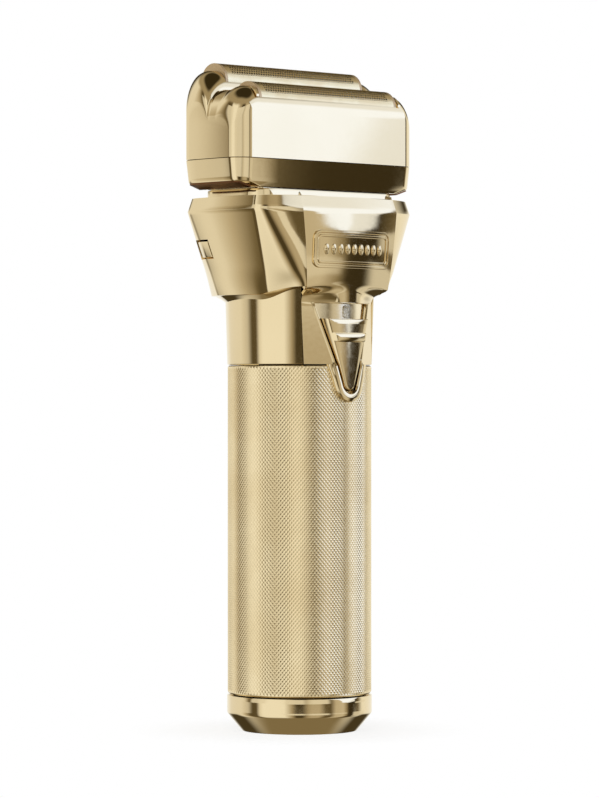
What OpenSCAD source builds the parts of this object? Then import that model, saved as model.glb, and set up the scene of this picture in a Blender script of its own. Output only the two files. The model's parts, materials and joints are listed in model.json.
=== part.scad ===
// Cordless foil shaver: two stepped foils on a lift-off head, an eight-sided body that narrows
// to a round neck, a slide switch in a V-shaped recess, and a knurled grip with a battery pack.
// X runs along the foils, -Y is the front with the switch, and +Z is up.
// The origin is the centre of the base's resting face. Sizes are in millimetres.

/* [Base and grip] */
// Radius of the face that the shaver stands on
foot_r = 14.4; // [14:0.1:15]
// Radius of the base cap's band
cap_r = 18.1; // [18.05:0.05:18.3]
// Height where the base cap's cone meets its band
cap_cone_z = 4.5; // [4:0.1:5]
// Height of the seam between base cap and grip
cap_seam_z = 9.2; // [9.1:0.1:9.4]
// Outer radius of the grip sleeve
grip_r = 17.85; // [17.8:0.05:17.9]
// Bore radius of the grip sleeve
sleeve_bore_r = 16.6; // [16.5:0.05:16.7]
// Height of the seam between grip and neck
grip_top_z = 91.2; // [91:0.1:91.5]
// Radius of the battery cell
cell_r = 9.2; // [9:0.05:9.2]
// Length of the battery cell
cell_len = 65.2; // [64:0.1:65.5]

/* [Body] */
// Radius of the neck where it meets the funnel
barrel_r = 18.5; // [18.4:0.05:18.6]
// Height of the funnel's lower corner
funnel_z = 109; // [108.8:0.1:109.2]
// Height of the body's widest rim
rim_z = 129; // [128.5:0.1:129.5]
// Height of the deck on top of the body
deck_z = 132.4; // [132.4:0.1:132.5]
// Wall thickness of the body
body_t = 1.6; // [1.4:0.1:1.7]

/* [Switch] */
// Radius of the rounded tip of the V-shaped recess
vee_tip_r = 2.4; // [2.2:0.1:2.6]
// Height of the centre of that tip
vee_tip_z = 86.6; // [86.4:0.1:86.8]
// Slope of the recess's sides from the vertical, in degrees
vee_slope = 18; // [17.5:0.1:18.2]
// Height of the recess's top edge
vee_top_z = 106.2; // [106:0.1:106.4]
// Height of the slider's top edge when it is off
slider_top_z = 102.5; // [102.3:0.1:102.6]
// Width of the frame that surrounds the recess
vee_frame = 2.2; // [2:0.1:2.4]

/* [Head] */
// Length of the head
head_x = 61; // [60.8:0.1:61.2]
// Depth of the head
head_y = 23.2; // [23.2:0.1:23.3]
// Plan radius of the head's corners
head_corner_r = 4.5; // [4.2:0.1:4.8]
// Height of the seam between head ring and head cover
head_seam_z = 141.5; // [141.3:0.1:141.7]
// Height of the rear arch of the cover's ends
rear_hump_z = 163.7; // [163.6:0.1:163.8]
// Height of the front arch of the cover's ends
front_hump_z = 159.3; // [159.2:0.1:159.4]

/* [Foils] */
// Distance between the two foils' axes
foil_pitch = 12.3; // [12.3:0.05:12.35]
// Outer radius of a foil's arch
foil_r = 4.6; // [4.6:0.05:4.65]
// Height of the rear foil's top
rear_apex_z = 165.6; // [165.5:0.1:165.7]
// Height of the front foil's top
front_apex_z = 160.4; // [160.3:0.1:160.5]
// Thickness of a foil sheet
foil_t = 0.3; // [0.3:0.01:0.32]

/* [Hidden] */
$fn = 96;
seam = 0.15;              // half of a visible seam between two pieces
gap = 0.3;                // space between pieces that move past each other
fit = 0.05;               // radial clearance of a running fit
foil_y = foil_pitch / 2;
hump_r = head_y / 2 - foil_y;
end_round = 6.5;          // radius that rounds the cover's ends at the top
cover_t = 1.2;
slot_x = 23.6;            // half length of the cover's foil slots
slot_y = foil_r + 0.25;   // half width of the cover's foil slots
foil_x = 23.3;            // half length of a foil with its ends
sheet_x = 22.5;           // half length of the foil sheet alone
cutter_r = foil_r - foil_t - 0.1;
cutter_x = 21;
ring_gap_y = 10.3;        // half width of the ring's opening for the cutters
cutter_y = 3.9;           // half width of a cutter, cut flat to pass the ring
stroke = 1.2;             // half stroke of the drive, and the crank's throw
post_x = 3;
post_y = 1.5;
cap_top_z = cap_seam_z - seam;
neck_z = grip_top_z;      // the neck starts on the grip's seam
floor_r = 16.6;           // radius of the switch panel's face
slider_r = 18.4;
liner_r = 15.9;
liner_bore_r = 14.6;
case_r = 14.2;
case_bore_r = 13;
case_top_z = 83.4;
can_r = 10.2;
can_z = [92.6, 119.5];
plate_z = [119.7, 121];   // base plate of the drive guide
rod_y = 10.4;
rod_z = 127.25;
rod_r = 0.8;
collar_top_z = deck_z + 1.8;
ring_z = collar_top_z + gap;
hook_y = [5.2, 8];
hook_x = [19.2, 21];
button_y = [7.3, 14.9];
button_z = [117.7, 121.8];

gold = [0.86, 0.76, 0.56];
warm_gold = [0.82, 0.70, 0.45];
foil_gold = [0.72, 0.55, 0.36];
tan_plastic = [0.78, 0.68, 0.52];
black = [0.08, 0.08, 0.08];
steel = [0.7, 0.7, 0.72];
brass = [0.8, 0.62, 0.3];

// ---- shared shapes ----

// Box between its limits on each axis
module block(x, y, z) {
    translate([x[0], y[0], z[0]]) cube([x[1] - x[0], y[1] - y[0], z[1] - z[0]]);
}

// Box of half sizes hx and hy with upright round corners
module rounded_block(hx, hy, r, z) {
    block([-hx, hx], [r - hy, hy - r], z);
    block([r - hx, hx - r], [-hy, hy], z);
    for (sx = [-1, 1], sy = [-1, 1])
        translate([sx * (hx - r), sy * (hy - r), z[0]]) cylinder(r = r, h = z[1] - z[0]);
}

// Upright tube
module tube(outer, inner, z) {
    difference() {
        translate([0, 0, z[0]]) cylinder(r = outer, h = z[1] - z[0]);
        translate([0, 0, z[0] - 1]) cylinder(r = inner, h = z[1] - z[0] + 2);
    }
}

// Bar of round section along X
module rod_x(r, x, y, z) {
    translate([x[0], y, z]) rotate([0, 90, 0]) cylinder(r = r, h = x[1] - x[0]);
}

// Front-view outline carried through the depth range y
module from_front(y) {
    translate([0, y[1], 0]) rotate([90, 0, 0]) linear_extrude(y[1] - y[0]) children();
}

// Closed solid through rings of equal point counts, listed from the bottom up
module loft(rings) {
    n = len(rings[0]);
    top = (len(rings) - 1) * n;
    sides = [for (k = [0 : len(rings) - 2], i = [0 : n - 1])
        let (a = k * n + i, b = k * n + (i + 1) % n)
        each [[a, a + n, b + n], [a, b + n, b]]];
    polyhedron(points = [for (r = rings) each r],
        faces = concat([[for (i = [0 : n - 1]) i]], sides,
            [[for (i = [n - 1 : -1 : 0]) top + i]]));
}

// Eight-sided ring: end faces to xe and ye, front corners xf and yf, rear corners xr and yr
function octagon(xe, ye, xf, yf, xr, yr, z) = [[xe, -ye, z], [xe, ye, z], [xr, yr, z],
    [-xr, yr, z], [-xe, ye, z], [-xe, -ye, z], [-xf, -yf, z], [xf, -yf, z]];

// Ring of a rounded rectangle, four steps to a corner
function rounded_ring(hx, hy, r, z) = [for (q = [0 : 3], j = [0 : 4])
    let (a = 90 * q + 22.5 * j, sx = (q == 0 || q == 3) ? 1 : -1, sy = q < 2 ? 1 : -1)
    [sx * (hx - r) + r * cos(a), sy * (hy - r) + r * sin(a), z]];

// Coil spring from z = 0 to h
module coil(r, wire, h, turns) {
    steps = round(turns * 10);
    loft([for (k = [0 : steps])
        let (a = 360 * turns * k / steps, z = wire + (h - 2 * wire) * k / steps)
        [for (t = [0 : 60 : 300])
            [(r + wire * cos(t)) * cos(a), (r + wire * cos(t)) * sin(a), z - wire * sin(t)]]]);
}

// V-shaped outline of the switch recess, grown by g, with its top edge at height top
function vee(g, top) =
    let (r = vee_tip_r + g,
        side = r * cos(vee_slope) + (top - vee_tip_z + r * sin(vee_slope)) * tan(vee_slope))
    concat([[side, top], [-side, top]],
        [for (k = [0 : 12]) let (a = 180 + vee_slope + k * (180 - 2 * vee_slope) / 12)
            [r * cos(a), vee_tip_z + r * sin(a)]]);

// ---- base and battery pack ----

module base_cap() {
    color(gold) difference() {
        rotate_extrude() polygon([[0, 0], [foot_r, 0], [cap_r, cap_cone_z], [cap_r, cap_top_z],
            [case_bore_r - fit, cap_top_z], [case_bore_r - fit, 13], [11.75, 13], [11.75, 2.4],
            [0, 2.4]]);
        contact_spots() translate([0, 0, -1]) cylinder(r = 1.65, h = 4);
    }
}

module contact_spots() {
    for (x = [-6, 0, 6]) translate([x, 0, 0]) children();
}

module charge_contacts() {
    color(brass) contact_spots() translate([0, 0, 0.3]) {
        cylinder(r = 1.6, h = 2.2);
        translate([0, 0, 2.1]) cylinder(r = 2.2, h = 0.6);
    }
}

module cell_case() {
    color(black) difference() {
        translate([0, 0, cap_top_z]) cylinder(r = case_r, h = case_top_z - cap_top_z);
        translate([0, 0, 0]) cylinder(r = case_bore_r, h = case_top_z - 1.2);
        contact_spots() translate([0, 0, 80]) cylinder(r = 1.2, h = 5);
    }
}

module battery_cell() {
    color([0.2, 0.35, 0.6]) translate([0, 0, 4.6]) {
        cylinder(r = cell_r, h = cell_len);
        cylinder(r = 3, h = cell_len + 0.8);
    }
}

module cell_spacers() {
    color(black) for (z = [15, 40, 62]) tube(case_bore_r - fit, cell_r + fit, [z, z + 4]);
}

module pack_board() {
    color([0.05, 0.3, 0.15]) {
        translate([0, 0, 74]) cylinder(r = 12.4, h = 1.6);
        block([-4, 3], [3.5, 8.5], [75.5, 77.2]);
        block([-6, -1], [-9, -6], [75.5, 76.9]);
    }
}

module pack_terminals() {
    color(brass) contact_spots() {
        translate([0, 0, 75.6]) cylinder(r = 1.1, h = case_top_z - 75.6);
        translate([0, 0, case_top_z]) cylinder(r = 2.2, h = 0.5);
    }
}

module pack_seal() {
    color(black) rotate_extrude() translate([15.3, cap_top_z + 0.42]) circle(r = 0.4);
}

// ---- grip ----

module grip_sleeve() {
    color(warm_gold) difference() {
        tube(grip_r, sleeve_bore_r, [cap_seam_z + seam, grip_top_z - seam]);
        from_front([-25, 0]) polygon(vee(vee_frame + 0.1, grip_top_z + 1));
    }
}

module grip_liner() {
    color(black) difference() {
        union() {
            tube(liner_r, liner_bore_r, [10, 90.4]);
            for (z = [12, 44, 76]) tube(sleeve_bore_r - fit, liner_bore_r, [z, z + 2]);
        }
        block([-3, 3], [12, 20], [40, 43]);
    }
}

module contact_block() {
    color(black) difference() {
        translate([0, 0, 85.6]) cylinder(r = liner_bore_r - fit, h = 2.6);
        contact_spots() translate([0, 0, 85]) cylinder(r = 1.1, h = 5);
    }
}

module spring_contacts() {
    color(brass) contact_spots() {
        translate([0, 0, case_top_z + 0.8]) cylinder(r = 1, h = 5.2);
        translate([0, 0, 88.25]) cylinder(r = 1.7, h = 1);
    }
}

// ---- body ----

// The body's rings at the funnel's foot, the rim and the deck, all moved in by t
function foot_ring(t, z) = octagon(19.6 - t, 9.5 - t / 2, 13.9 - t / 2, 18 - t,
    13.2 - t / 2, 16.9 - t, z);
function rim_ring(t, z) = octagon(26.95 - t, 12.76 - t / 2, 16.3 - t / 2, 19.06 - t,
    16.3 - t / 2, 19.06 - t, z);

// Neck and funnel as one solid
module body_solid() {
    under = 0.8;
    loft([[for (p = foot_ring(0, 0)) [p[0] * under, p[1] * under, funnel_z - 2.7]],
        foot_ring(0, funnel_z), rim_ring(0, rim_z), rim_ring(1, deck_z)]);
    translate([0, 0, neck_z]) cylinder(r1 = grip_r + 0.2, r2 = barrel_r, h = 106 - neck_z);
    translate([0, 0, 106]) cylinder(r1 = barrel_r, r2 = barrel_r - 1, h = 7);
}

// What is hollow inside the neck and funnel
module body_space() {
    translate([0, 0, neck_z - 1]) cylinder(r = barrel_r - body_t, h = funnel_z + 1.6 - neck_z);
    loft([foot_ring(body_t + 0.2, funnel_z + 0.5), rim_ring(body_t, rim_z),
        rim_ring(body_t + 0.6, deck_z - body_t)]);
}

// Front-view outline of the fascia, grown by g
module fascia_outline(g) {
    side = [[16.3, 150], [16.3, rim_z], [14, funnel_z + 0.5], [12.2, 106.5], [11.6, neck_z - 2]];
    polygon(concat([for (p = side) [p[0] + g, p[1]]],
        [for (i = [4 : -1 : 0]) [-side[i][0] - g, side[i][1]]]));
}

// Openings in the deck and collar for the drive posts and the release hooks
module deck_openings() {
    for (s = [-1, 1]) {
        block([-post_x - stroke - 0.4, post_x + stroke + 0.4],
            [s * foil_y - post_y - 0.5, s * foil_y + post_y + 0.5], [deck_z - 3, deck_z + 3]);
        block([s * 19.3 - 2.1, s * 19.3 + 2.1], [hook_y[0] - 0.4, hook_y[1] + 0.4],
            [deck_z - 3, deck_z + 3]);
    }
}

module upper_shell() {
    color(gold) difference() {
        body_solid();
        body_space();
        from_front([-30, -9]) fascia_outline(0.1);
        deck_openings();
        for (s = [-1, 1])
            block([s * 22 - 8, s * 22 + 8], [button_y[0] - gap, button_y[1] + gap],
                [button_z[0] - gap, button_z[1] + gap]);
    }
}

module front_fascia() {
    color(gold) difference() {
        union() {
            intersection() {
                difference() {
                    body_solid();
                    body_space();
                }
                from_front([-30, -9]) fascia_outline(0);
                block([-20, 20], [-30, -9], [neck_z, deck_z + 1]);
            }
            intersection() {
                tube(grip_r + 0.9, sleeve_bore_r + 0.1, [80, neck_z + 0.5]);
                from_front([-30, -9]) polygon(vee(vee_frame, neck_z + 0.5));
            }
        }
        from_front([-30, -9]) polygon(vee(0, vee_top_z));
        deck_openings();
    }
}

module badge_plate() {
    tilt = atan(1.06 / 20);
    color(gold) translate([0, -18.55, 119.4]) rotate([90 + tilt, 0, 0]) difference() {
        rounded_block(12.9, 4.6, 2, [0.02, 0.7]);
        difference() {
            rounded_block(12.2, 3.9, 1.4, [0.4, 1]);
            rounded_block(11.7, 3.4, 1, [0, 1]);
        }
        rounded_block(11, 2.6, 0.6, [0.4, 1]);
    }
}

module switch_panel() {
    color([0.9, 0.87, 0.78]) difference() {
        intersection() {
            tube(floor_r, floor_r - 0.6, [83, 107.5]);
            from_front([-30, -9]) polygon(vee(1.2, vee_top_z + 1.1));
        }
        block([-1.4, 1.4], [-20, -10], [95.9, 102.2]);
    }
}

module indicator_lens() {
    color([0.95, 0.95, 0.9]) intersection() {
        tube(floor_r + 0.25, floor_r, [102, 107]);
        from_front([-20, -10]) union() {
            translate([0, 103.5]) circle(r = 0.8);
            translate([0, 105]) circle(r = 0.8);
            translate([-0.8, 103.5]) square([1.6, 1.5]);
        }
    }
}

module neck_collar() {
    color(gold) difference() {
        union() {
            rounded_block(23.5, 11.25, 5, [deck_z, collar_top_z]);
            difference() {
                rounded_block(22.2, 9.4, 1.5, [deck_z, collar_top_z + 2]);
                rounded_block(21.3, 8.5, 1, [collar_top_z, collar_top_z + 3]);
            }
        }
        deck_openings();
    }
}

module post_seals() {
    color([0.25, 0.12, 0.06]) for (s = [-1, 1]) translate([0, s * foil_y, 0]) difference() {
        rounded_block(5.7, 2.25, 0.8, [collar_top_z, collar_top_z + 0.9]);
        block([-post_x - stroke - gap, post_x + stroke + gap], [-post_y - gap, post_y + gap],
            [collar_top_z - 1, collar_top_z + 2]);
    }
}

// ---- electronics and motor ----

module circuit_board() {
    color([0.05, 0.3, 0.15]) {
        block([-8.5, 8.5], [-13.4, -12.2], [92.5, 113]);
        block([-7, -2], [-12.25, -11.2], [104, 109]);
        block([3, 6.5], [-12.25, -11.4], [98, 100.5]);
    }
}

module slide_switch() {
    color(black) difference() {
        block([-3.5, 3.5], [-15.4, -13.4], [95, 103.6]);
        block([-1.3, 1.3], [-16, -14.2], [96.2, 101.9]);
    }
}

module motor_can() {
    color(steel) difference() {
        union() {
            translate([0, 0, can_z[0]]) cylinder(r = can_r, h = can_z[1] - can_z[0]);
            translate([0, 0, can_z[1]]) cylinder(r = 3, h = 1);
        }
        translate([0, 0, can_z[0] - 1]) cylinder(r = can_r - 1, h = can_z[1] - can_z[0]);
        translate([0, 0, can_z[1] - 3]) cylinder(r = 1 + fit, h = 6);
        screw_spots() translate([0, 0, can_z[1] - 3]) cylinder(r = 0.9, h = 6);
    }
}

module screw_spots() {
    for (x = [-8.5, 8.5]) translate([x, 0, 0]) children();
}

module motor_end_bell() {
    color(black) difference() {
        translate([0, 0, can_z[0] - 2]) cylinder(r = can_r, h = 2);
        translate([0, 0, can_z[0] - 3]) cylinder(r = 1 + fit, h = 5);
    }
}

module motor_magnets() {
    color([0.3, 0.3, 0.32]) difference() {
        tube(can_r - 1 - fit, 7.4, [96, 113]);
        block([-20, 20], [-3, 3], [90, 120]);
    }
}

module mount_screws() {
    color(steel) screw_spots() {
        translate([0, 0, 117]) cylinder(r = 0.9, h = 4.2);
        translate([0, 0, plate_z[1]]) cylinder(r = 1.9, h = 1.1);
    }
}

module drive_guide() {
    color(black) difference() {
        union() {
            block([-14, 14], [-12, 12], plate_z);
            for (s = [-1, 1]) block([s * 13.25 - 0.75, s * 13.25 + 0.75], [-12, 12],
                [plate_z[0], deck_z - body_t - 0.05]);
        }
        translate([0, 0, plate_z[0] - 1]) cylinder(r = 3.1, h = 4);
        screw_spots() translate([0, 0, plate_z[0] - 1]) cylinder(r = 0.95, h = 4);
        for (s = [-1, 1]) rod_x(rod_r, [-20, 20], s * rod_y, rod_z);
    }
}

module guide_rods() {
    color(steel) for (s = [-1, 1]) rod_x(rod_r, [-14, 14], s * rod_y, rod_z);
}

module rotor_core() {
    color([0.45, 0.3, 0.2]) difference() {
        tube(6.9, 1, [97, 112]);
        for (a = [0, 120, 240]) rotate([0, 0, a]) block([4.2, 8], [-0.8, 0.8], [90, 120]);
    }
}

module commutator() {
    color(brass) tube(2.4, 1, [93, 96.5]);
}

module motor_shaft() {
    color(steel) translate([0, 0, 90.8]) cylinder(r = 1, h = 32.2);
}

module eccentric_crank() {
    cam_z = plate_z[1] + 2.2;
    color(black) difference() {
        union() {
            translate([0, 0, plate_z[1] + 0.4]) cylinder(r = 5.5, h = 1.85);
            translate([0, stroke, cam_z]) cylinder(r = 4.3, h = 1.7);
            translate([0, -stroke, cam_z + 1.6]) cylinder(r = 1.5, h = 2.8);
        }
        translate([0, 0, plate_z[1]]) cylinder(r = 1, h = 2);
        block([-1.5, 1.5], [-6, -3.6], [plate_z[1], cam_z + 1]);
    }
}

// ---- drives and cutters: side is -1 for the front and 1 for the rear ----

function foil_axis(side) = (side < 0 ? front_apex_z : rear_apex_z) - foil_r;

// Slot plate, bearing ears, post, spring shoulder and cutter pin of one drive
module drive_yoke(side, z, slot, reach) {
    shoulder = foil_axis(side) - 12.3;
    ear_z = side < 0 ? [z[0], rod_z + 1.65] : [rod_z - 1.35, z[1]];
    color([0.85, 0.85, 0.82]) difference() {
        union() {
            block([-9.5, 9.5], side < 0 ? [-11.8, reach] : [-reach, 11.8], z);
            for (s = [-1, 1]) block([s * 7.75 - 1.75, s * 7.75 + 1.75],
                side < 0 ? [-11.8, -9] : [9, 11.8], ear_z);
            block([-post_x, post_x], [side * foil_y - post_y, side * foil_y + post_y],
                [z[0] + 1, shoulder + 0.1]);
            translate([0, side * foil_y, shoulder]) cylinder(r = 3.4, h = 1);
            translate([0, side * foil_y, shoulder]) cylinder(r = 1.6, h = 8.5);
        }
        rod_x(rod_r + fit, [-20, 20], side * rod_y, rod_z);
        block([-slot[0], slot[0]], [-slot[1], slot[1]], [z[0] - 1, z[1]]);
    }
}

module front_drive_yoke() {
    drive_yoke(-1, [125.2, 126.6], [4.35, 5.6], 7.2);
}

module rear_drive_yoke() {
    drive_yoke(1, [127.9, 129.3], [1.6, 2.8], 3.4);
}

// Slotted half-round cutter
module cutter_comb(side) {
    z = foil_axis(side);
    wall = 0.7;
    color(steel) translate([0, side * foil_y, z]) difference() {
        intersection() {
            union() {
                rod_x(cutter_r, [-20.2, 20.2], 0, 0);
                block([-20.2, 20.2], [-cutter_r, cutter_r], [-2.4, 0]);
            }
            block([-30, 30], [-cutter_y, cutter_y], [-9, 9]);
        }
        rod_x(cutter_r - wall, [-30, 30], 0, 0);
        block([-30, 30], [wall - cutter_r, cutter_r - wall], [-8, 0]);
        block([-30, 30], [-8, 8], [-8, -2.4]);
        for (i = [-13 : 13]) block([1.4 * i - 0.35, 1.4 * i + 0.35], [-8, 8], [-1, 8]);
    }
}

module front_cutter_comb() {
    cutter_comb(-1);
}

module rear_cutter_comb() {
    cutter_comb(1);
}

// Bar that holds the comb's ends and slides on the drive's pin
module cutter_carrier(side) {
    color(black) translate([0, side * foil_y, foil_axis(side)]) difference() {
        union() {
            block([-cutter_x, cutter_x], [-3.45, 3.45], [-6.5, -1.3]);
            for (s = [-1, 1]) intersection() {
                block([s * 20.65 - 0.35, s * 20.65 + 0.35], [-cutter_y, cutter_y], [-2.4, 8]);
                union() {
                    rod_x(cutter_r, [-30, 30], 0, 0);
                    block([-30, 30], [-cutter_r, cutter_r], [-3, 0]);
                }
            }
        }
        translate([0, 0, -7]) cylinder(r = 1.6 + fit, h = 4.7);
    }
}

module front_cutter_carrier() {
    cutter_carrier(-1);
}

module rear_cutter_carrier() {
    cutter_carrier(1);
}

module cutter_spring(side) {
    color(steel) translate([0, side * foil_y, foil_axis(side) - 11.25]) coil(2.3, 0.28, 4.7, 4);
}

module front_cutter_spring() {
    cutter_spring(-1);
}

module rear_cutter_spring() {
    cutter_spring(1);
}

// ---- head ----

function hump_top(side) = side < 0 ? front_hump_z : rear_hump_z;

// One half of the head above the seam, moved in by t
module half_head(side, t) {
    arch_z = hump_top(side) - hump_r;
    end_z = hump_top(side) - end_round;
    base_z = head_seam_z + (t > 0 ? -1 : 0);
    intersection() {
        union() {
            block([-40, 40], side < 0 ? [t - head_y / 2, 0] : [0, head_y / 2 - t],
                [base_z, arch_z]);
            rod_x(hump_r - t, [-40, 40], side * foil_y, arch_z);
        }
        union() {
            block([t - head_x / 2, head_x / 2 - t], [-20, 20], [base_z, end_z]);
            block([end_round - head_x / 2, head_x / 2 - end_round], [-20, 20],
                [base_z, hump_top(side) - t]);
            for (s = [-1, 1]) translate([s * (head_x / 2 - end_round), 20, end_z])
                rotate([90, 0, 0]) cylinder(r = end_round - t, h = 40);
        }
        rounded_block(head_x / 2 - t, head_y / 2 - t, head_corner_r - t, [base_z, 200]);
    }
}

module head_cover() {
    ridge_z = rear_hump_z - hump_r;
    color(gold) difference() {
        union() {
            half_head(-1, 0);
            half_head(1, 0);
            block([-27.6, 27.6], [-2.6, 0], [150, ridge_z - 0.25]);
        }
        half_head(-1, cover_t);
        half_head(1, cover_t);
        block([-27, 27], [-1.4, 1.4], [head_seam_z - 1, ridge_z - 1.6]);
        for (s = [-1, 1]) block([-slot_x, slot_x], [s * foil_y - slot_y, s * foil_y + slot_y],
            [head_seam_z - 1, 170]);
    }
}

module head_ring() {
    color(gold) difference() {
        loft([rounded_ring(25.5, 10.75, 3.2, ring_z),
            rounded_ring(head_x / 2 - 0.75, head_y / 2 - 0.75, head_corner_r - 0.5, 135.8),
            rounded_ring(head_x / 2, head_y / 2, head_corner_r, head_seam_z - seam)]);
        rounded_block(29.1, 10.4, 3.3, [136.2, head_seam_z + 1]);
        block([-22.6, 22.6], [-ring_gap_y, ring_gap_y], [ring_z - 1, 140]);
    }
}

module foil_bed() {
    color(black) {
        difference() {
            rounded_block(28.9, 10.1, 3, [136.25, 139]);
            block([-22.6, 22.6], [-12, 12], [136, 140]);
        }
        for (sx = [-1, 1], sy = [-1, 1])
            translate([sx * 25.2, sy * foil_y, 138.9]) cylinder(r = 0.85, h = 2.6);
    }
}

module foil_clips() {
    color(gold) for (side = [-1, 1], s = [-1, 1]) intersection() {
        difference() {
            rod_x(hump_r + 0.3, [-40, 40], side * foil_y, hump_top(side) - hump_r);
            rod_x(hump_r, [-40, 40], side * foil_y, hump_top(side) - hump_r);
        }
        block([s * 24.1 - 0.4, s * 24.1 + 0.4], [side * 9.9 - 1.1, side * 9.9 + 1.1],
            [hump_top(side) - hump_r + 0.5, hump_top(side)]);
    }
}

// ---- foils ----

// Arch of radius r with straight sides that end below its axis
module arch(r, x, drop) {
    rod_x(r, x, 0, 0);
    block(x, [-r, r], [-drop, 0]);
}

module foil_sheet(side) {
    color(foil_gold) translate([0, side * foil_y, foil_axis(side)]) difference() {
        intersection() {
            arch(foil_r, [-sheet_x, sheet_x], 6.5);
            block([-30, 30], [-10, 10], [-6.5, 10]);
        }
        rod_x(foil_r - foil_t, [-30, 30], 0, 0);
        block([-30, 30], [foil_t - foil_r, foil_r - foil_t], [-10, 0]);
    }
}

module front_foil() {
    foil_sheet(-1);
}

module rear_foil() {
    foil_sheet(1);
}

// Both half-moon ends of a foil with their retaining flanges, feet and the rail between them
module foil_frame(side) {
    z = foil_axis(side);
    arch_z = hump_top(side) - hump_r;
    flange_r = hump_r - cover_t - 0.35;
    color(tan_plastic) {
        translate([0, side * foil_y, 0]) for (s = [-1, 1]) {
            x = [s * 22.9 - 0.4, s * 22.9 + 0.4];
            lip = [s * 24.05 - 0.8, s * 24.05 + 0.8];
            foot = [s * 24.9 - 2.3, s * 24.9 + 2.3];
            translate([0, 0, z]) arch(foil_r, x, 8);
            rod_x(flange_r, lip, 0, arch_z);
            block(lip, [-flange_r, flange_r], [z - 8, arch_z]);
            block(foot, [-flange_r, flange_r], [z - 9.2, z - 8]);
        }
        block([-foil_x, foil_x], side < 0 ? [-1.5, -0.25] : [0.25, 1.5], [z - 8.6, z - 5.5]);
        for (s = [-1, 1]) block([s * 22.9 - 0.4, s * 22.9 + 0.4],
            side < 0 ? [-2.5, -0.25] : [0.25, 2.5], [z - 8.6, z - 6.6]);
    }
}

module front_foil_frame() {
    foil_frame(-1);
}

module rear_foil_frame() {
    foil_frame(1);
}

module foil_springs(side) {
    bottom = 139.05;
    top = foil_axis(side) - 9.25;
    color(steel) for (s = [-1, 1])
        translate([s * 25.2, side * foil_y, bottom]) coil(1.4, 0.22, top - bottom, 5);
}

module front_foil_springs() {
    foil_springs(-1);
}

module rear_foil_springs() {
    foil_springs(1);
}

// ---- controls ----

module power_slider() {
    color(gold) {
        intersection() {
            tube(slider_r, 17, [83, 103]);
            from_front([-30, -9]) polygon(vee(-gap, slider_top_z));
        }
        intersection() {
            tube(slider_r + 0.9, slider_r - 0.2, [96.8, 99]);
            from_front([-30, -9]) polygon(vee(-gap - 0.4, slider_top_z));
        }
    }
}

module slider_actuator() {
    color(black) block([-0.9, 0.9], [-16.97, -14.6], [96.6, 98.6]);
}

// Button in the shell's wall, with the arm that reaches the head's catch: side is the sign of x
module release_button(side) {
    color(gold) difference() {
        intersection() {
            body_solid();
            block([side * 23 - 7, side * 23 + 7], button_y, button_z);
        }
        loft([foot_ring(3, funnel_z - 1), rim_ring(3, rim_z), rim_ring(3, deck_z + 1)]);
    }
    x = side < 0 ? [-hook_x[1], -hook_x[0]] : hook_x;
    color(black) {
        block(x, [hook_y[0], button_y[0] + 1.5], [118.4, 121.2]);
        block(x, hook_y, [118.4, 136.4]);
    }
}

module left_release_button() {
    release_button(-1);
}

module right_release_button() {
    release_button(1);
}

module release_spring(side) {
    translate([side * 14.05, 6.6, 125]) rotate([0, side * 90, 0]) color(steel)
        coil(1.5, 0.22, hook_x[0] - 14.1, 4);
}

module left_release_spring() {
    release_spring(-1);
}

module right_release_spring() {
    release_spring(1);
}

base_cap();
charge_contacts();
cell_case();
battery_cell();
cell_spacers();
pack_board();
pack_terminals();
pack_seal();
grip_sleeve();
grip_liner();
contact_block();
spring_contacts();
upper_shell();
front_fascia();
badge_plate();
switch_panel();
indicator_lens();
neck_collar();
post_seals();
circuit_board();
slide_switch();
motor_can();
motor_end_bell();
motor_magnets();
mount_screws();
drive_guide();
guide_rods();
rotor_core();
commutator();
motor_shaft();
eccentric_crank();
front_drive_yoke();
rear_drive_yoke();
front_cutter_comb();
rear_cutter_comb();
front_cutter_carrier();
rear_cutter_carrier();
front_cutter_spring();
rear_cutter_spring();
head_cover();
head_ring();
foil_bed();
foil_clips();
front_foil();
rear_foil();
front_foil_frame();
rear_foil_frame();
front_foil_springs();
rear_foil_springs();
power_slider();
slider_actuator();
left_release_button();
right_release_button();
left_release_spring();
right_release_spring();
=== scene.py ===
"""Looks for the foil shaver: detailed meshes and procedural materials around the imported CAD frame.

Lengths in the mesh functions are millimetres; build() turns them into metres.
"""
import json
from math import acos, asin, copysign, cos, degrees, hypot, pi, radians, sin, sqrt, tan

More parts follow.
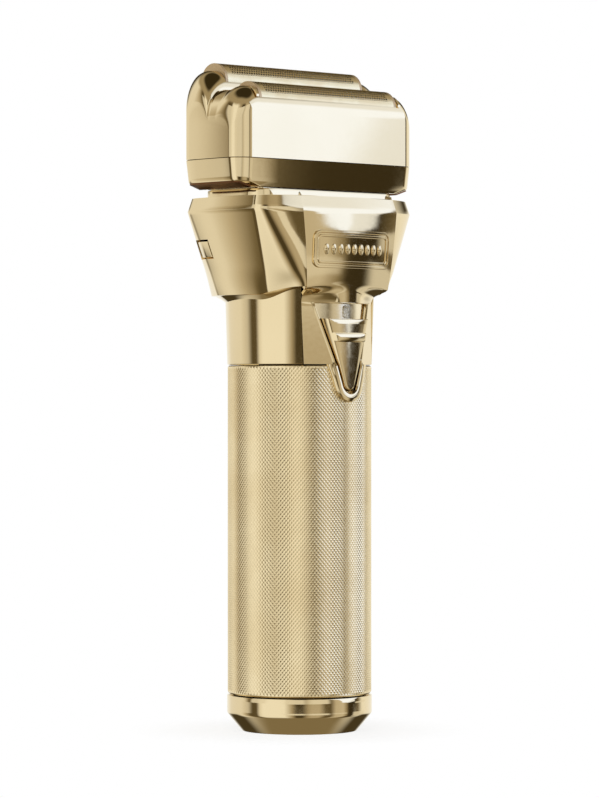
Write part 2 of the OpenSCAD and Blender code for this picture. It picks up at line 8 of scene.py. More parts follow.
import bmesh
import bpy
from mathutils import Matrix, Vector

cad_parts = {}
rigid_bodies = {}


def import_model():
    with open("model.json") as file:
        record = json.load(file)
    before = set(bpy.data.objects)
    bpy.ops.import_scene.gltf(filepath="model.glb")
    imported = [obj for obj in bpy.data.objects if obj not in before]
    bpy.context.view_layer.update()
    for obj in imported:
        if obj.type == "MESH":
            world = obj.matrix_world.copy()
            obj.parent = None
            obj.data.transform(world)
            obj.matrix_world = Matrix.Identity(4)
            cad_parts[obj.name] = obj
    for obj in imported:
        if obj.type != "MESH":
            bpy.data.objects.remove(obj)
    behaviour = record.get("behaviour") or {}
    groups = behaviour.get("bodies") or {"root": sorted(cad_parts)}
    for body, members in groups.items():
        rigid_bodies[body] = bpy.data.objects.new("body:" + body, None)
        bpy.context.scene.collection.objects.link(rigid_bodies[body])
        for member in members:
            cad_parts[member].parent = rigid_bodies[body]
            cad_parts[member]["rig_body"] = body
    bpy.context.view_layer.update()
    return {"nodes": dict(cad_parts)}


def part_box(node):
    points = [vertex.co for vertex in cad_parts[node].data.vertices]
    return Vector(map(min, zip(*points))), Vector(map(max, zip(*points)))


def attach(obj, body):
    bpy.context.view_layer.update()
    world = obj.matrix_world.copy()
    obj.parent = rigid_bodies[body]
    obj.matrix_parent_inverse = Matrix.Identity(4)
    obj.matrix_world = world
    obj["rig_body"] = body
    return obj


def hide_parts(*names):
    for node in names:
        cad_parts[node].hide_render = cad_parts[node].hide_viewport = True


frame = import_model()

MM = 0.001
VIEW_AZIMUTH = radians(-43)  # the camera's bearing: 0 looks along +Y
CAMERA_DISTANCE = 0.9
CAMERA_HEIGHT = 0.0827
CAMERA_LENS, SENSOR_WIDTH = 162.4, 36  # millimetres
TO_CAMERA = (sin(VIEW_AZIMUTH), -cos(VIEW_AZIMUTH), 0.0)
VIEW_RIGHT = (cos(VIEW_AZIMUTH), sin(VIEW_AZIMUTH), 0.0)


def top(node):
    """Highest point of a CAD node."""
    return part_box(node)[1].z / MM


def bottom(node):
    """Lowest point of a CAD node."""
    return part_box(node)[0].z / MM


# -------------------- mesh tools

def smoothstep(a, b, v):
    """Eased share from 0 at a to 1 at b; a may be the larger."""
    t = min(1.0, max(0.0, (v - a) / (b - a)))
    return t * t * (3 - 2 * t)


def lerp(a, b, t):
    """Number a share t of the way from a to b."""
    return a + (b - a) * t


def even(a, b, count):
    """Numbers from a to b in count equal steps, both ends included."""
    return [lerp(a, b, k / count) for k in range(count + 1)]


def mix(p, q, t):
    """Point a share t of the way from p to q."""
    return tuple(lerp(a, b, t) for a, b in zip(p, q))


class Shape:
    """Vertices and faces gathered from grids before they become one mesh."""

    def __init__(self):
        self.points, self.faces = [], []

    def add(self, points):
        """Takes the points in and gives the number of the first."""
        start = len(self.points)
        self.points += points
        return start

    def grid(self, rows, closed=False, skip=None, cap_first=False, cap_last=False):
        """Joins neighbouring rows with faces, but for those where skip(row, place) is true."""
        n = len(rows[0])
        start = self.add([p for row in rows for p in row])
        for r in range(len(rows) - 1):
            for i in range(n if closed else n - 1):
                if skip and skip(r, i):
                    continue
                j = (i + 1) % n
                a, b = start + r * n, start + (r + 1) * n
                self.faces.append((a + i, a + j, b + j, b + i))
        if cap_first:
            self.faces.append(tuple(range(start + n - 1, start - 1, -1)))
        if cap_last:
            last = start + (len(rows) - 1) * n
            self.faces.append(tuple(range(last, last + n)))


def new_object(name, data):
    """Makes an object of the data and puts it in the scene."""
    obj = bpy.data.objects.new(name, data)
    bpy.context.scene.collection.objects.link(obj)
    return obj


def bake(obj):
    """Applies the object's modifiers to its mesh."""
    graph = bpy.context.evaluated_depsgraph_get()
    mesh = bpy.data.meshes.new_from_object(obj.evaluated_get(graph))
    old = obj.data
    obj.modifiers.clear()
    obj.data = mesh
    bpy.data.meshes.remove(old)


def build(name, shape, wall=0.0, crease=32, weld=0.004):
    """Makes the mesh object: joined, outward, thickened inward by wall, smooth but for creases."""
    mesh = bpy.data.meshes.new(name)
    mesh.from_pydata([(x * MM, y * MM, z * MM) for x, y, z in shape.points], [], shape.faces)
    work = bmesh.new()
    work.from_mesh(mesh)
    bmesh.ops.remove_doubles(work, verts=work.verts, dist=weld * MM)
    bmesh.ops.dissolve_degenerate(work, edges=work.edges, dist=weld * MM / 4)
    loose = [v for v in work.verts if not v.link_faces]
    bmesh.ops.delete(work, geom=loose, context="VERTS")
    bmesh.ops.recalc_face_normals(work, faces=work.faces)
    work.to_mesh(mesh)
    work.free()
    obj = new_object(name, mesh)
    if wall:
        solid = obj.modifiers.new("wall", "SOLIDIFY")
        solid.thickness = wall * MM
        solid.offset = -1
        bake(obj)
    obj.data.shade_smooth()
    obj.data.set_sharp_from_angle(angle=radians(crease))
    return obj


def rounded_outline(hx, hy, r, steps=10, straight=6):
    """Rounded rectangle, counter-clockwise from where the +X side meets its +Y corner."""
    points = []
    for q, (sx, sy) in enumerate([(1, 1), (-1, 1), (-1, -1), (1, -1)]):
        cx, cy = sx * (hx - r), sy * (hy - r)
        arc = [(cx + r * cos(radians(90 * q + 90 * k / steps)),
                cy + r * sin(radians(90 * q + 90 * k / steps))) for k in range(steps + 1)]
        if points:
            points += [mix(points[-1], arc[0], k / straight) for k in range(1, straight)]
        points += arc
    points += [mix(points[-1], points[0], k / straight) for k in range(1, straight)]
    return points


def oval(cx, rx, ry, count):
    """Points round an oval with its middle at cx on the X axis, from its +X end."""
    return [(cx + rx * cos(2 * pi * i / count), ry * sin(2 * pi * i / count)) for i in range(count)]


def turned(r, z, count):
    """Level ring of points at radius r round the Z axis, from the front round by +X."""
    return [(r * sin(2 * pi * i / count), -r * cos(2 * pi * i / count), z) for i in range(count)]


def finish_piece(obj, body, slot, material, *nodes):
    """Gives a piece its material and body, and hides the CAD nodes it takes over; the slot is not
    used.
    """
    obj.data.materials.clear()
    obj.data.materials.append(material)
    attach(obj, body)
    if nodes:
        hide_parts(*nodes)


# -------------------- sizes read from the frame

SEAM = 0.1
GRIP_Z = (bottom("grip_sleeve"), top("grip_sleeve"))
NECK_Z = GRIP_Z[1] + 2 * SEAM
DECK_Z = bottom("neck_collar")
COLLAR_Z = DECK_Z + 1.8  # top of the plinth that carries the head
RIM_HEIGHT, FUNNEL_HEIGHT = 3.4, 20.0
RIM_Z = DECK_Z - RIM_HEIGHT
FOOT_Z = RIM_Z - FUNNEL_HEIGHT
RING_Z = (bottom("head_ring"), top("head_ring"))
COVER_Z = bottom("head_cover")
REAR_TOP = top("head_cover")
FRONT_TOP = REAR_TOP - 4.4
HEAD_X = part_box("head_cover")[1].x / MM
HEAD_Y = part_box("head_cover")[1].y / MM
FOIL_Y = 6.15  # each foil's middle line, ahead of and behind the axis
HUMP_R = HEAD_Y - FOIL_Y
VEE_R, VEE_Z, VEE_TOP = 2.4, 86.6, 106.2  # the switch recess: tip radius and heights
VEE_SLOPE = radians(18)
VEE_EDGE = 0.9  # growth of the recess where its rounded brink begins
FASCIA_R = 18.75  # round middle of the fascia, low on the neck
FASCIA_TOP = VEE_TOP + 0.3  # level line between the recess and the funnel's apron
SHELL_LIP, FASCIA_LIP, APRON_LIP = 0.55, 0.6, 1.6  # depths of the edges turned in at seams
EDGE_CLIMB = 1.6  # of the funnel's lower edge, from back to front
CAP_HOLE_Y, CAP_HOLE_Z = (7.0, 14.9), (117.4, 122.1)  # in the shell, for the release caps
ACROSS = even(-1, 1, 40)  # places across the fascia, -1 to 1
SLIDER_TOP = top("power_slider")


# -------------------- funnel and neck

def corner_set(z):
    """Plan of the body at height z: end corner, fascia corner and the fascia's bow."""
    flare = min(1.0, (z - FOOT_Z) / (RIM_Z - FOOT_Z))
    inset = max(0.0, (z - RIM_Z) / (DECK_Z - RIM_Z))
    swell = 1 - (1 - min(1.0, flare / 0.8)) ** 2
    end = (lerp(18.95, 26.2, flare) - inset, lerp(9.5, 12.0, flare) - inset * 0.5)
    front = (lerp(13.7, 15.9, flare) - inset * 0.4, lerp(17.35, 18.45, swell) - inset)
    return end, front, lerp(0.95, 1.4, swell)


def meet(p, q, angle_p, angle_q):
    """Lengths along both end tangents to where they cross; angles are the normals' bearings."""
    tp = (cos(angle_p), -sin(angle_p))
    tq = (cos(angle_q), -sin(angle_q))
    dx, dy = q[0] - p[0], q[1] - p[1]
    det = tp[0] * tq[1] - tp[1] * tq[0]
    return (dx * tq[1] - dy * tq[0]) / det, (tp[0] * dy - tp[1] * dx) / det, tp, tq


def facet(p, q, steps, bearing):
    """Curved corner facet from the end corner p to the fascia corner q, on the -X -Y side."""
    a, b, tp, tq = meet(p, q, radians(bearing), radians(18))
    a, b = max(a, 0.5) * 0.6, max(b, 0.5) * 0.8
    c1 = (p[0] + a * tp[0], p[1] + a * tp[1])
    c2 = (q[0] - b * tq[0], q[1] - b * tq[1])
    out = []
    for k in range(steps + 1):
        t = k / steps
        w = ((1 - t) ** 3, 3 * t * (1 - t) ** 2, 3 * t * t * (1 - t), t ** 3)
        out.append(tuple(w[0] * p[i] + w[1] * c1[i] + w[2] * c2[i] + w[3] * q[i]
                         for i in (0, 1)))
    return out


def bowed(p, q, bow, steps):
    """Side from p to q that swells outward by bow in its middle."""
    nx, ny = q[1] - p[1], p[0] - q[0]
    length = hypot(nx, ny)
    out = []
    for k in range(steps + 1):
        t = k / steps
        x, y = mix(p, q, t)
        d = 4 * bow * t * (1 - t) / length
        out.append((x + nx * d, y + ny * d))
    return out


def shell_outline(z):
    """From the fascia's right corner round the back to its left corner."""
    (ex, ey), (fx, fy), _ = corner_set(z)
    left = facet((-ex, -ey), (-fx, -fy), 28, lerp(62, 71, smoothstep(FOOT_Z, RIM_Z, z)))
    end = bowed((-ex, ey), (-ex, -ey), 0.75, 24)
    rear_left = [(x, -y) for x, y in reversed(left)]
    crown = lerp(1.5, 0.55, smoothstep(FOOT_Z, RIM_Z, z))
    back = [(-fx * k / 12, fy + crown * (1 - (k / 12) ** 2)) for k in range(13)]
    half = back[:-1] + rear_left[:-1] + end[:-1] + left
    return [(-x, y) for x, y in reversed(half)][:-1] + half


def fascia_outline(z):
    """Front of the funnel at height z, bowed between the fascia's two corners."""
    _, (fx, fy), crown = corner_set(z)
    return [(fx * s, -fy - crown * (1 - s ** 2)) for s in ACROSS]


def neck_radius(z):
    """Radius of the neck, which widens upward."""
    return lerp(18.05, 18.5, (z - NECK_Z) / 14.8)


def seam_x(z):
    """Half width of the fascia on the neck."""
    return lerp(11.6, 12.2, (z - NECK_Z) / 15.3)


def edge_rise(x, y):
    """How far the funnel's lower edge climbs towards the fascia, by the bearing of a point."""
    from_front = degrees(acos(max(-1, min(1, -y / hypot(x, y)))))
    return EDGE_CLIMB * smoothstep(75, 42, from_front)


def bordered(row, depth, lean):
    """The row with a point behind each end, where its edge turns in along the seam."""
    a, b = row[0], row[-1]
    return ([(a[0] + depth * lean, a[1] + depth, a[2])] + row
            + [(b[0] - depth * lean, b[1] + depth, b[2])])


def funnel_levels():
    """Heights of the funnel's rows from the deck down, each with its step in from the outline."""
    levels = [(DECK_Z, 1.4)] + [(z, 0.0) for z in
              [DECK_Z - 0.12, DECK_Z - 1.2, DECK_Z - 2.4, RIM_Z + 0.1]
              + even(RIM_Z - 0.1, FOOT_Z, 26)]
    for target in CAP_HOLE_Z:
        best = min(range(len(levels)), key=lambda k: abs(levels[k][0] - target))
        levels[best] = (target, 0.0)
    return levels


def funnel_row(z, inset):
    """Outline of the shell at height z, dipped behind and lifted in front near the foot."""
    row = []
    for x, y in shell_outline(z):
        length = hypot(x, y)
        near_foot = smoothstep(FOOT_Z + 6, FOOT_Z, z)
        drop = near_foot * (1 - edge_rise(x, y) / EDGE_CLIMB) * 0.6
        lift = near_foot * (edge_rise(x, y) * 0.75)
        row.append((x * (1 - inset / length), y * (1 - inset / length), z - drop + lift))
    return bordered(row, SHELL_LIP, -0.5)


def tucked_row(foot, share, fall):
    """The funnel's foot drawn a share of the way in to the neck, and down by fall."""
    row = []
    for x, y, z in foot:
        length = hypot(x, y)
        radius = lerp(length, min(length - 0.3, 17.9), share)
        row.append((x * radius / length, y * radius / length,
                    z - fall * (1 - 0.75 * edge_rise(x, y) / EDGE_CLIMB)))
    return row


def neck_rows():
    """Neck behind the fascia, its two long edges turned in along the seam."""
    rows = []
    for z in (NECK_Z, NECK_Z + 0.12, 94, 97, 100, 103, 106, 108, 110.5):
        r = neck_radius(z) - (0.12 if z == NECK_Z else 0)
        start = asin(seam_x(z) / r) + 0.006
        lip_x, lip_y = sin(start) * (r - SHELL_LIP), -cos(start) * (r - SHELL_LIP)
        around = [start + (2 * pi - 2 * start) * k / 120 for k in range(121)]
        rows.append([(lip_x, lip_y, z)] + [(sin(a) * r, -cos(a) * r, z) for a in around]
                    + [(-lip_x, lip_y, z)])
    return rows


def upper_shell():
    """Funnel, tucked foot, neck and deck, with holes in its sides for the release caps."""
    shape = Shape()
    rows = [funnel_row(z, inset) for z, inset in funnel_levels()]
    foot = rows[-1]
    rows += [tucked_row(foot, *step) for step in ((0.25, 0.12), (0.6, 0.9), (1.0, 2.1))]

    def hole(r, i):
        x, y, z = rows[r][i]
        _, y2, z2 = rows[r + 1][i + 1]
        mid_y, mid_z = (y + y2) / 2, (z + z2) / 2
        return (CAP_HOLE_Y[0] < mid_y < CAP_HOLE_Y[1] and CAP_HOLE_Z[0] < mid_z < CAP_HOLE_Z[1]
                and abs(x) > 17)

    shape.grid(rows, skip=hole)
    shape.grid(neck_rows())
    around = shell_outline(DECK_Z) + fascia_outline(DECK_Z)[1:-1]
    deck = [[(x * scale, y * scale, DECK_Z - 0.02) for x, y in around] for scale in (0.55, 0.985)]
    shape.grid(deck, closed=True)
    return build("upper_shell_polished", shape, wall=1.0, crease=26)


def vee_x(z, g):
    """Half width of the switch recess's outline grown by g, at height z."""
    r = VEE_R + g
    tangent = VEE_Z - r * sin(VEE_SLOPE)
    if z >= tangent:
        return r * cos(VEE_SLOPE) + (z - VEE_Z + r * sin(VEE_SLOPE)) * tan(VEE_SLOPE)
    return sqrt(max(0.0, r * r - (z - VEE_Z) ** 2))


def skin_y(x, z):
    """Front surface of the fascia on the neck: a round middle between two flat cheeks."""
    crown = lerp(FASCIA_R, neck_radius(z), smoothstep(92, 103, z))
    arc = -sqrt(max(1.0, crown * crown - x * x))
    if z < NECK_Z - 0.2:
        return arc
    normal_x, normal_y, from_axis = 0.476, 0.880, 17.69
    cheek = -(from_axis - normal_x * abs(x)) / normal_y
    flat = max(arc, cheek) if abs(x) > 3.4 else arc
    neck = -sqrt(max(1.0, neck_radius(z) ** 2 - x * x))
    return lerp(flat, neck, smoothstep(106.0, 108.6, z))


def vee_outline(g, top_z, side, tip, ease=1.0):
    """Outline of the recess grown by g: down the left side, round the tip and up the right."""
    r = VEE_R + g
    tangent = VEE_Z - r * sin(VEE_SLOPE)
    left = [(-vee_x(z, g), z) for z in
            (lerp(top_z, tangent, (k / side) ** ease) for k in range(side + 1))]
    arc = [(r * cos(a), VEE_Z + r * sin(a)) for a in
           (pi + VEE_SLOPE + (pi - 2 * VEE_SLOPE) * k / tip for k in range(1, tip))]
    return left + arc + [(-x, z) for x, z in reversed(left)]


def vee_loop(g, top_z, across=10):
    """Outline of the recess grown by g and closed along its top."""
    width = vee_x(top_z, g)
    back = [(lerp(width, -width, k / across), top_z) for k in range(1, across)]
    return vee_outline(g, top_z, 22, 20, 0.9) + back


def fascia_front(z, inset=0.0):
    """The same front as points, stepped inward by inset."""
    return [(x * (1 - inset / 18), y + inset, z) for x, y in fascia_outline(z)]


def funnel_front():
    """Fascia from the deck over the arched rim and down to the funnel's foot."""
    rows = [fascia_front(DECK_Z, 1.4), fascia_front(DECK_Z - 0.12)]
    arch, steps = 0.8, 24
    deck, rim = fascia_front(DECK_Z), fascia_front(RIM_Z)
    for k in range(1, 4):
        rows.append([mix(a, mix(a, b, 1 - arch * (1 - s * s) / RIM_HEIGHT), k / 3)
                     for s, a, b in zip(ACROSS, deck, rim)])
    for k in range(1, steps + 1):
        heights = [lerp(RIM_Z + arch * (1 - s * s), 111.1 - 1.15 * s * s, k / steps)
                   for s in ACROSS]
        rows.append([(*fascia_outline(min(z, RIM_Z))[i], z) for i, z in enumerate(heights)])
    return rows


def on_neck(s, z):
    """Point of the fascia on the neck at height z, a share s of the way across."""
    x = s * (seam_x(z) - SEAM)
    return (x, skin_y(x, z), z)


def apron(foot):
    """Fascia from the funnel's foot inward on to the neck."""
    aims = [on_neck(s, 108.6 - 0.9 * s * s) for s in ACROSS]
    rows = []
    for k in range(1, 9):
        turn = smoothstep(0, 8, k)
        rows.append([(lerp(x, to_x, turn), lerp(y, to_y, turn), lerp(z, to_z, k / 8))
                     for (x, y, z), (to_x, to_y, to_z) in zip(foot, aims)])
    return rows


def neck_front(start):
    """Fascia on the neck from the apron down to the level line over the recess."""
    return [[on_neck(s, lerp(z, FASCIA_TOP, k / 4)) for s, (_, _, z) in zip(ACROSS, start)]
            for k in range(1, 5)]


def cheek(side):
    """Fascia beside the recess, on one side."""
    rows = []
    for z in even(FASCIA_TOP, NECK_Z + 0.02, 30):
        inner, outer = vee_x(z, VEE_EDGE), seam_x(z) - SEAM
        row = [(side * x, skin_y(x, z), z) for x in even(outer, inner, 8)]
        x, y, _ = row[0]
        rows.append([(x - side * 0.2, y + FASCIA_LIP, z)] + row)
    return rows


def brow(side):
    """Narrow strip of the fascia over the recess, on one side of its middle."""
    return [[(side * x, skin_y(x, z), z + rise) for x in even(0, vee_x(z, g), 12)]
            for z, g, rise in ((FASCIA_TOP, VEE_EDGE, 0.0), (VEE_TOP, 0.0, 0.2))]


def tongue():
    """Rounded end of the fascia that runs down over the grip."""
    rows = []
    for g, sink in ((VEE_EDGE, 0.0), (1.3, -0.02), (1.75, 0.0), (2.08, 0.1), (2.2, 0.35),
                    (2.2, 1.9)):
        rows.append([(x, -sqrt((lerp(18.6, FASCIA_R, smoothstep(91, 88, z)) - sink) ** 2 - x * x), z)
                     for x, z in vee_outline(g, NECK_Z - 0.02, 10, 22)])
    return rows


def front_fascia():
    """Polished front: funnel, apron and neck, the switch recess with its floor, the tongue."""
    shape = Shape()
    upper = funnel_front()
    middle = apron(upper[-1])
    rows = ([(row, FASCIA_LIP) for row in upper] + [(row, APRON_LIP) for row in middle]
            + [(row, FASCIA_LIP) for row in neck_front(middle[-1])])
    shape.grid([bordered(row, depth, 0.35) for row, depth in rows])
    for side in (-1, 1):
        shape.grid(cheek(side))
        shape.grid(brow(side))
    brink = [[(x, skin_y(x, z) + sink, z) for x, z in vee_loop(g, VEE_TOP + 0.25 * g)]
             for g, sink in ((VEE_EDGE, 0.0), (0.5, 0.0), (0.36, 0.05), (0.02, 0.4), (0.0, 0.5),
                             (0.0, 1.2))]
    floor = [(x, -sqrt(16.75 ** 2 - x * x), z) for x, z in vee_loop(0.0, VEE_TOP)]
    shape.grid(brink + [floor], closed=True)
    shape.grid(tongue())
    return build("front_fascia_polished", shape, crease=24)


def side_x(y, z):
    """Half width of the funnel at height z, measured at the given y."""
    line = [(-x, py) for x, py in shell_outline(z) if x < -15]
    for (xa, ya), (xb, yb) in zip(line, line[1:]):
        if yb <= y <= ya:
            return lerp(xa, xb, (ya - y) / (ya - yb))
    return line[0][0]


def release_button(side):
    """Push button a little below the funnel's side, with the arm that frees the head."""
    shape = Shape()
    rows = []
    ys = even(7.4, 15.0, 14)
    for z, sink in ((117.75, 0.75), (117.85, 0.5), (118.2, 0.4), (119.75, 0.4), (121.3, 0.4),
                    (121.65, 0.5), (121.75, 0.75)):
        outer = [(side * (side_x(y, z) - sink - 0.3 * (y in (ys[0], ys[-1]))), y, z) for y in ys]
        inner = [(side * (side_x(y, z) - 2.0), y, z) for y in reversed(ys)]
        rows.append(outer + inner)
    shape.grid(rows, closed=True, cap_first=True, cap_last=True)
    arm = [[(side * 20.1 + x, 6.6 + y, z) for x, y in rounded_outline(hx, hx + 0.5, 0.3, 4, 2)]
           for hx, z in ((0.75, 118.4), (0.9, 118.55), (0.9, 136.25), (0.75, 136.4))]
    shape.grid(arm, closed=True, cap_first=True, cap_last=True)
    label = "left" if side < 0 else "right"
    return build(f"{label}_release_cap", shape, crease=35)


# -------------------- switch

def slider_face(x, reach):
    """Front of the slider at x: much flatter than the neck around it."""
    return -(reach - x * x / 60)


def power_slider():
    """Slider filling the recess, its face ringed by a soft edge and crossed by a thumb bar."""
    shape = Shape()
    across, face, root = 10, 18.4, 18.2
    edge_g, edge_dip = -1.1, 0.34
    loops = []
    for g, reach, dip in ((-0.3, 16.3, 0.0), (-0.34, 16.9, 0.0), (-0.62, 17.95, 0.05),
                          (-0.7, 18.2, 0.12), (-0.86, 18.36, 0.22), (edge_g, face, edge_dip)):
        loops.append([(x, slider_face(x, max(reach, 17.0) if abs(x) < 2 else reach), z)
                      for x, z in vee_loop(g, SLIDER_TOP - dip, across)])
    shape.grid(loops, closed=True)
    loop = vee_loop(edge_g, SLIDER_TOP - edge_dip, across)
    count = len(loop) - (across - 1)
    rows = []
    for (x0, z), (x1, _) in zip(loop[:count // 2 + 1], reversed(loop[:count])):
        rows.append([(x, slider_face(x, face), z) for x in even(x0, x1, across)])
    shape.grid(rows)
    bar = []
    for z, reach in ((96.7, root), (96.75, 18.75), (96.9, 19.1), (97.25, 19.28), (98.5, 19.28),
                     (98.85, 19.1), (99.0, 18.75), (99.05, root)):
        width = vee_x(z, -0.75)
        bar.append([(width * s, slider_face(width * s, lerp(root, reach, smoothstep(
            1.0, 0.9, abs(s)))), z) for s in even(-1, 1, 24)])
    shape.grid(bar)
    return build("power_slider_polished", shape, crease=30)


# -------------------- grip

def under_tongue(x, y, z):
    """True where the fascia's tongue lies over the grip."""
    return y < 0 and z > VEE_Z - VEE_R - 2.35 and abs(x) < vee_x(z, 2.05)


def knurled_sleeve():
    """Diamond knurl: pyramids in a staggered grid, dropped where the fascia's tongue lies."""
    shape = Shape()
    around, pitch_z, depth, outer, bore = 246, 0.545, 0.11, 17.97, 16.7
    low, high = GRIP_Z[0] + 0.35, GRIP_Z[1] - 0.3
    count = int(round((high - low) / pitch_z / 2)) * 2
    points = []
    for j, z in enumerate(even(low, high, count)):
        for i in range(around):
            a = 2 * pi * i / around
            r = outer - depth * (0.5 if j in (0, count) else (i + j) % 2)
            points.append((sin(a) * r, -cos(a) * r, z))
    shape.add(points)

    def covered(face):
        return under_tongue(*(sum(points[v][axis] for v in face) / 3 for axis in range(3)))

    for j in range(count):
        for i in range(around):
            a, b = j * around + i, j * around + (i + 1) % around
            c, d = b + around, a + around
            pair = ((a, b, c), (a, c, d)) if (i + j) % 2 else ((a, b, d), (b, c, d))
            shape.faces += [face for face in pair if not covered(face)]
    middle = outer - depth * 0.5
    for ends in (((low, middle), (GRIP_Z[0], outer - 0.32)),
                 ((GRIP_Z[1], outer - 0.3), (high, middle)),
                 ((GRIP_Z[0], outer - 0.31), (GRIP_Z[0], bore)),
                 ((GRIP_Z[1], outer - 0.31), (GRIP_Z[1], bore))):
        rows = [turned(r, z, around) for z, r in ends]
        shape.grid(rows, closed=True, skip=lambda _, i: under_tongue(*rows[0][i]))
    obj = build("knurled_sleeve", shape, crease=60, weld=0.001)
    obj.data.shade_flat()
    return obj


def base_cap():
    """Turned cap with soft edges, a resting ring and the contact wells left open."""
    shape = Shape()
    outside = [(7.9, 0.35), (8.1, 0.12), (13.9, 0.0), (14.35, 0.06), (14.62, 0.3),
               (17.85, 4.22), (18.02, 4.45), (18.1, 4.75), (18.1, 5.6), (18.1, 7.4),
               (18.1, 8.75), (18.02, 8.98), (17.86, 9.05), (13.0, 9.05)]
    for profile in (outside, [(7.9, 0.35), (7.9, 0.9)]):
        shape.grid([turned(r, z, 144) for r, z in profile], closed=True)
    return build("base_cap_polished", shape, crease=28)


def contact_plate():
    """Recessed disc under the cap with a round well for each charge contact."""
    shape = Shape()
    around, plate_r, z = 48, 7.92, 0.5
    walls = (-plate_r, -3.0, 3.0, plate_r)
    for k, cx in enumerate((-6.0, 0.0, 6.0)):
        well = []
        for r, h in ((1.66, 1.2), (1.66, z + 0.1), (1.8, z)):
            well.append([(x, y, h) for x, y in oval(cx, r, r, around)])
        edge = []
        for dx, dy in oval(0, 1, 1, around):
            reach = -cx * dx + sqrt(cx * dx * cx * dx + plate_r ** 2 - cx * cx)
            for wall in walls[k:k + 2]:
                if abs(dx) > 1e-6 and (wall - cx) / dx > 0 and abs(wall) < plate_r:
                    reach = min(reach, (wall - cx) / dx)
            edge.append((cx + dx * reach, dy * reach, z))
        shape.grid(well + [edge], closed=True)
    return build("contact_plate", shape, wall=0.5, crease=30)


# -------------------- head

def crown_head(shape):
    """Bows the four walls of the head outward a little, alike on the cover and its ring."""
    shape.points = [(x - copysign(0.3 * (y / 11) ** 2 * smoothstep(24, 29, abs(x)), x),
                     y - copysign(0.4 * (x / 28) ** 2 * smoothstep(8, 10.5, abs(y)), y), z)
                    for x, y, z in shape.points]


def head_cover():
    """Stepped cover with rounded ends, one continuous section at each station along X."""
    shape = Shape()
    slot_x, slot_y = 23.6, 4.85  # half length and half width of a foil's opening
    front_fall, rear_fall = 8.2, 9.6  # how far each hump drops to its rounded end
    corner_r, web_half, wall_steps, flank, crest = 4.5, 0.55, 16, 8, 24
    start = 24.1
    reach = HEAD_X - start
    stations = [slot_x * k / 14 for k in range(15)] + [start]
    stations += [start + reach * sin(radians(90 * k / 26)) for k in range(1, 27)]
    stations = [-x for x in reversed(stations[1:])] + stations
    slot_angle = acos(slot_y / HUMP_R)
    arch_steps = ([slot_angle * k / flank for k in range(flank)]
                  + even(slot_angle, pi - slot_angle, crest)[:-1]
                  + [pi - slot_angle + slot_angle * k / flank for k in range(flank + 1)])

    def section(x):
        run = max(0.0, abs(x) - start) / reach
        fall = 1 - sqrt(max(0.0, 1 - run * run))
        past = max(0.0, abs(x) - (HEAD_X - corner_r)) / corner_r
        out = HEAD_Y - corner_r * (1 - sqrt(max(0.0, 1 - past * past)))
        half = (out - web_half) / 2
        web = FRONT_TOP - max(1.1, fall * front_fall + 0.35)
        points = []
        for side, peak in ((-1, FRONT_TOP - fall * front_fall), (1, REAR_TOP - fall * rear_fall)):
            centre = side * (out + web_half) / 2
            base = peak - half
            wall = [(x, side * out, z) for z in even(COVER_Z, base, wall_steps)[:-1]]
            arch = []
            for a in arch_steps:
                z = base + half * sin(a)
                arch.append((x, centre + side * half * cos(a), max(z, web) if a > pi / 2 else z))
            points.append(wall + arch + [(x, side * 0.3, web - 0.05)])
        front, rear = points
        return front + [(x, 0.0, front[-1][2] - 0.1)] + list(reversed(rear))

    rows = [section(x) for x in stations]
    last = len(rows[0]) - 2

    def in_slot(r, i):
        x = (stations[r] + stations[r + 1]) / 2
        crests = range(wall_steps + flank, wall_steps + flank + crest)
        return abs(x) <= slot_x and (i in crests or last - i in crests)

    shape.grid(rows, skip=in_slot, cap_first=True, cap_last=True)
    crown_head(shape)
    return build("head_cover_polished", shape, wall=0.3, crease=34)


def ring_rows(sections):
    """Level rounded rectangles: half length, half width, corner radius and height of each."""
    return [[(x, y, z) for x, y in rounded_outline(hx, hy, r)] for hx, hy, r, z in sections]


def ring_sections():
    """Outlines of the head ring from its inner lip, under the edge and up the outside."""
    low, high = RING_Z

    def front(rise):
        return lerp(10.85, HEAD_Y, rise / (high - low))

    sections = [(22.6, 10.3, 2.0, 140.0), (22.6, 10.3, 2.0, low + 0.15),
                (22.75, 10.4, 2.1, low), (25.2, 10.66, 3.1, low)]
    sections += [(hx, front(rise), r, low + rise) for hx, r, rise in (
        (25.55, 3.2, 0.06), (29.3, 3.8, 1.12), (29.62, 3.95, 1.26), (29.80, 4.0, 1.55),
        (29.92, 4.08, 2.3))]
    for k in range(1, 7):
        t = k / 6
        rise = lerp(2.3, high - low - 0.06, t)
        sections.append((lerp(29.92, HEAD_X, t), front(rise), lerp(4.08, 4.5, t), low + rise))
    sections += [(HEAD_X - 0.06, HEAD_Y - 0.06, 4.45, high), (HEAD_X - 1.3, HEAD_Y - 1.3, 3.4, high),
                 (HEAD_X - 1.4, HEAD_Y - 1.3, 3.4, 136.4), (22.6, 10.3, 2.0, 136.4)]
    return ring_rows(sections)


def under_end(rows, r, i):
    """True where a ring face belongs to the chamfer under the head's two ends."""
    x, y, z = rows[r][i]
    x2, _, z2 = rows[r + 1][i]
    return 25.0 < abs(x) < 25.7 and abs(x2) > 27 and z2 - z > 0.5 and abs(y) < 9.5


def ring_part(name, ends, wall=0.0):
    """Head ring without the chamfers at its two ends, or those chamfers alone, given a dark copper
    that paints the shade in the gap under the head's ends.
    """
    shape = Shape()
    rows = ring_sections()
    shape.grid(rows, closed=True, skip=lambda r, i: under_end(rows, r, i) != ends)
    crown_head(shape)
    return build(name, shape, wall=wall, crease=30)


